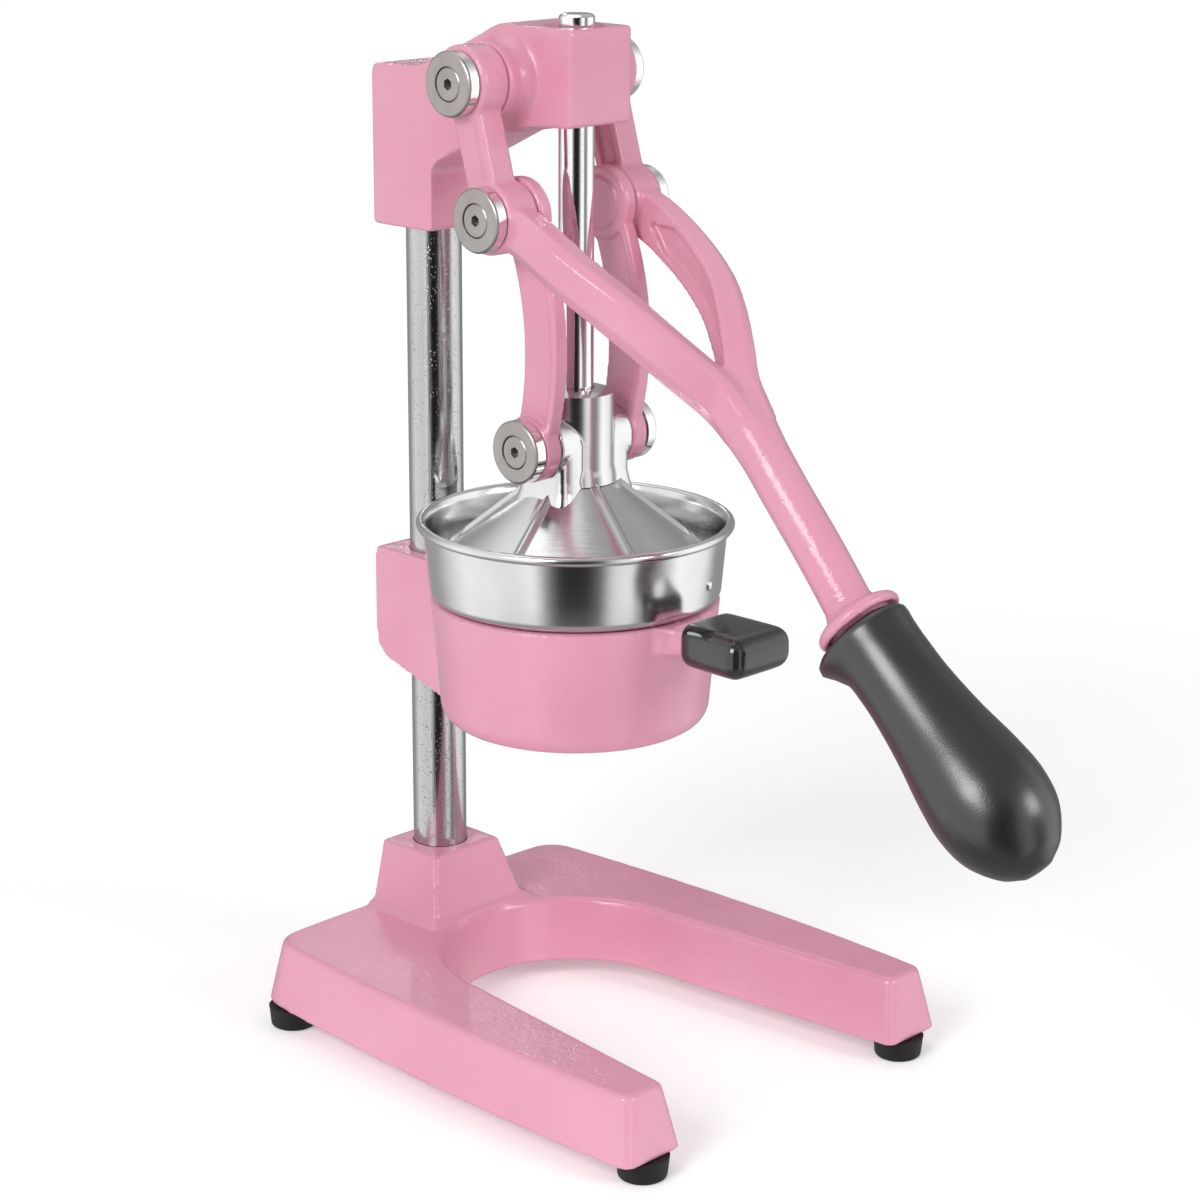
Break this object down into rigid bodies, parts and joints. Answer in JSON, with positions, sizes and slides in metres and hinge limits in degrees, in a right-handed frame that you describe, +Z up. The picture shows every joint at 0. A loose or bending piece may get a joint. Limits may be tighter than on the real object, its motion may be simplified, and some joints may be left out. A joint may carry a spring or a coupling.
{
  "type": "hand lever citrus press",
  "caption": "Cast hand-lever citrus press: forked lever and curved links push a press cone into a steel bowl held over a glass by a ring on a column and slotted base.",
  "frame": {"origin": "under the middle of the press's overall box, on the surface that the feet stand on", "axes": "+Z up, the lever's grip and the open end of the base towards -Y, +X to the right seen from the front"},
  "size_m": [0.189, 0.3406, 0.42],
  "materials": {
    "pink_enamel": "gloss enamel over a cast surface",
    "column_chrome": "chrome plate, slightly pitted",
    "rod_chrome": "bright chrome plate",
    "stainless": "drawn stainless steel, satin with turning marks",
    "polished_aluminium": "polished casting",
    "satin_nickel": "turned satin nickel plate",
    "zinc_steel": "zinc plate",
    "bronze": "plain bearing bronze",
    "black_gloss": "gloss moulded",
    "black_satin": "satin moulded",
    "rubber": "matt"
  },
  "bodies": {
    "frame": {"base_casting": "pink_enamel", "head_casting": "pink_enamel", "bracket_ring": "pink_enamel", "column": "column_chrome", "bowl": "stainless", "juicing_cone": "stainless", "front_grip": "black_gloss", "rod_guide_bush": "bronze", "column_bolt": "zinc_steel", "column_washer": "zinc_steel", "front_grip_screw": "zinc_steel", "foot_front_left": "rubber", "foot_screw_front_left": "zinc_steel", "foot_front_right": "rubber", "foot_screw_front_right": "zinc_steel", "foot_rear_left": "rubber", "foot_screw_rear_left": "zinc_steel", "foot_rear_right": "rubber", "foot_screw_rear_right": "zinc_steel", "head_set_screw_1": "zinc_steel", "head_set_screw_2": "zinc_steel", "bracket_set_screw_1": "zinc_steel", "bracket_set_screw_2": "zinc_steel", "lever_pivot_cap_left": "satin_nickel", "lever_pivot_screw_left": "satin_nickel", "lever_pivot_cap_right": "satin_nickel", "lever_pivot_screw_right": "satin_nickel"},
    "lever": {"lever_casting": "pink_enamel", "grip_stud": "zinc_steel", "lever_grip": "black_satin", "crank_pivot_cap_left": "satin_nickel", "crank_pivot_cap_right": "satin_nickel", "crank_pivot_screw_left": "satin_nickel", "crank_pivot_screw_right": "satin_nickel"},
    "press_head": {"press_hub": "polished_aluminium", "press_cone": "polished_aluminium", "guide_rod": "rod_chrome", "rod_nut": "stainless", "press_pivot_cap_left": "satin_nickel", "press_pivot_cap_right": "satin_nickel", "press_pivot_screw_left": "satin_nickel", "press_pivot_screw_right": "satin_nickel"},
    "link_left": {"link_left": "pink_enamel", "link_bush_left": "bronze"},
    "link_right": {"link_right": "pink_enamel", "link_bush_right": "bronze"}
  },
  "joints": [
    {"name": "lever_hinge", "type": "hinge", "parent": "frame", "child": "lever", "pos_m": [0, 0.08905, 0.3949], "axis": [-1, 0, 0], "range_deg": [0, 105]},
    {"name": "press_slide", "type": "slide", "parent": "frame", "child": "press_head", "axis": [0, 0, 1], "range_m": [0, 0.07987]},
    {"name": "link_left_hinge", "type": "hinge", "parent": "press_head", "child": "link_left", "pos_m": [0, 0.06735, 0.25367], "axis": [1, 0, 0], "range_deg": [0, 18.94]},
    {"name": "link_right_hinge", "type": "hinge", "parent": "press_head", "child": "link_right", "pos_m": [0, 0.06735, 0.25367], "axis": [1, 0, 0], "range_deg": [0, 18.94]}
  ],
  "couplings": [
    {"joint": "press_slide", "follows": "lever_hinge", "m_per_rad": 0.04358},
    {"joint": "link_left_hinge", "follows": "lever_hinge", "ratio": 0.18033},
    {"joint": "link_right_hinge", "follows": "lever_hinge", "ratio": 0.18033}
  ]
}
